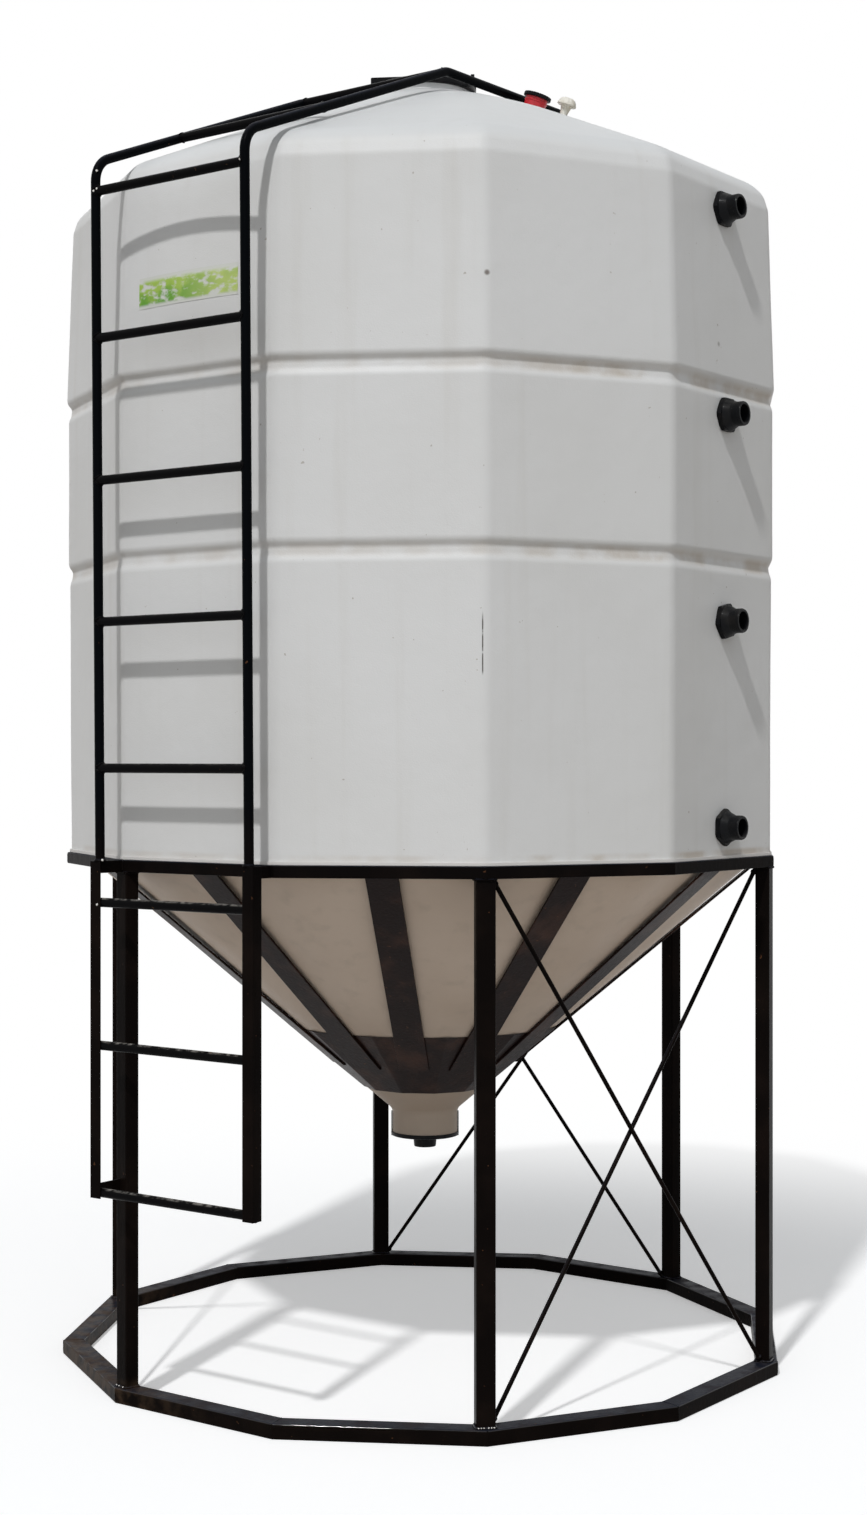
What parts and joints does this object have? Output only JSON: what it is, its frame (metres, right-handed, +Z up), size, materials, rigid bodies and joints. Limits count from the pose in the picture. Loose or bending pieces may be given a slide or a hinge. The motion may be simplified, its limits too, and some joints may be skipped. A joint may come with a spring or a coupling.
{
  "type": "plastic hopper silo",
  "caption": "Free-standing silo of moulded plastic: twelve-sided banded tank, faceted roof with lid, hopper bottom with spout, black steel stand and bent-tube ladder.",
  "frame": {"origin": "on the ground, under the middle of the tank", "axes": "+Z up along the tank's axis; the ladder is on the wall face at 225 degrees from +X and the side fittings on the face at 315 degrees"},
  "size_m": [2.112, 2.112, 3.715],
  "materials": {
    "stand_paint": "black gloss paint, brushed on",
    "tank_plastic": "rotomoulded white polyethylene, satin",
    "hopper_plastic": "rotomoulded natural white polyethylene, satin",
    "black_plastic": "moulded black plastic, satin",
    "red_plastic": "moulded red plastic",
    "cream_plastic": "moulded cream plastic"
  },
  "bodies": {
    "root": {"base_ring": "stand_paint", "ring_beam": "stand_paint", "leg_1": "stand_paint", "leg_2": "stand_paint", "leg_3": "stand_paint", "leg_4": "stand_paint", "leg_5": "stand_paint", "leg_6": "stand_paint", "brace_1": "stand_paint", "brace_2": "stand_paint", "brace_3": "stand_paint", "wall_panel_01": "tank_plastic", "wall_panel_02": "tank_plastic", "wall_panel_03": "tank_plastic", "wall_panel_04": "tank_plastic", "wall_panel_05": "tank_plastic", "wall_panel_06": "tank_plastic", "wall_panel_07": "tank_plastic", "wall_panel_08": "tank_plastic", "wall_panel_09": "tank_plastic", "wall_panel_10": "tank_plastic", "wall_panel_11": "tank_plastic", "wall_panel_12": "tank_plastic", "roof": "tank_plastic", "hopper": "hopper_plastic", "hopper_collar": "stand_paint", "hopper_strap_01": "stand_paint", "hopper_strap_02": "stand_paint", "hopper_strap_03": "stand_paint", "hopper_strap_04": "stand_paint", "hopper_strap_05": "stand_paint", "hopper_strap_06": "stand_paint", "hopper_strap_07": "stand_paint", "hopper_strap_08": "stand_paint", "hopper_strap_09": "stand_paint", "hopper_strap_10": "stand_paint", "hopper_strap_11": "stand_paint", "hopper_strap_12": "stand_paint", "outlet_cap": "black_plastic", "lid": "black_plastic", "fill_socket": "red_plastic", "fill_cap": "black_plastic", "vent": "cream_plastic", "side_fitting_1": "black_plastic", "side_fitting_2": "black_plastic", "side_fitting_3": "black_plastic", "side_fitting_4": "black_plastic", "ladder_stile_left": "stand_paint", "ladder_stile_right": "stand_paint", "ladder_rungs_lower": "stand_paint", "ladder_rail_left": "stand_paint", "ladder_rail_right": "stand_paint", "ladder_rungs_upper": "stand_paint", "roof_rungs": "stand_paint", "ladder_strut": "stand_paint"}
  },
  "joints": []
}
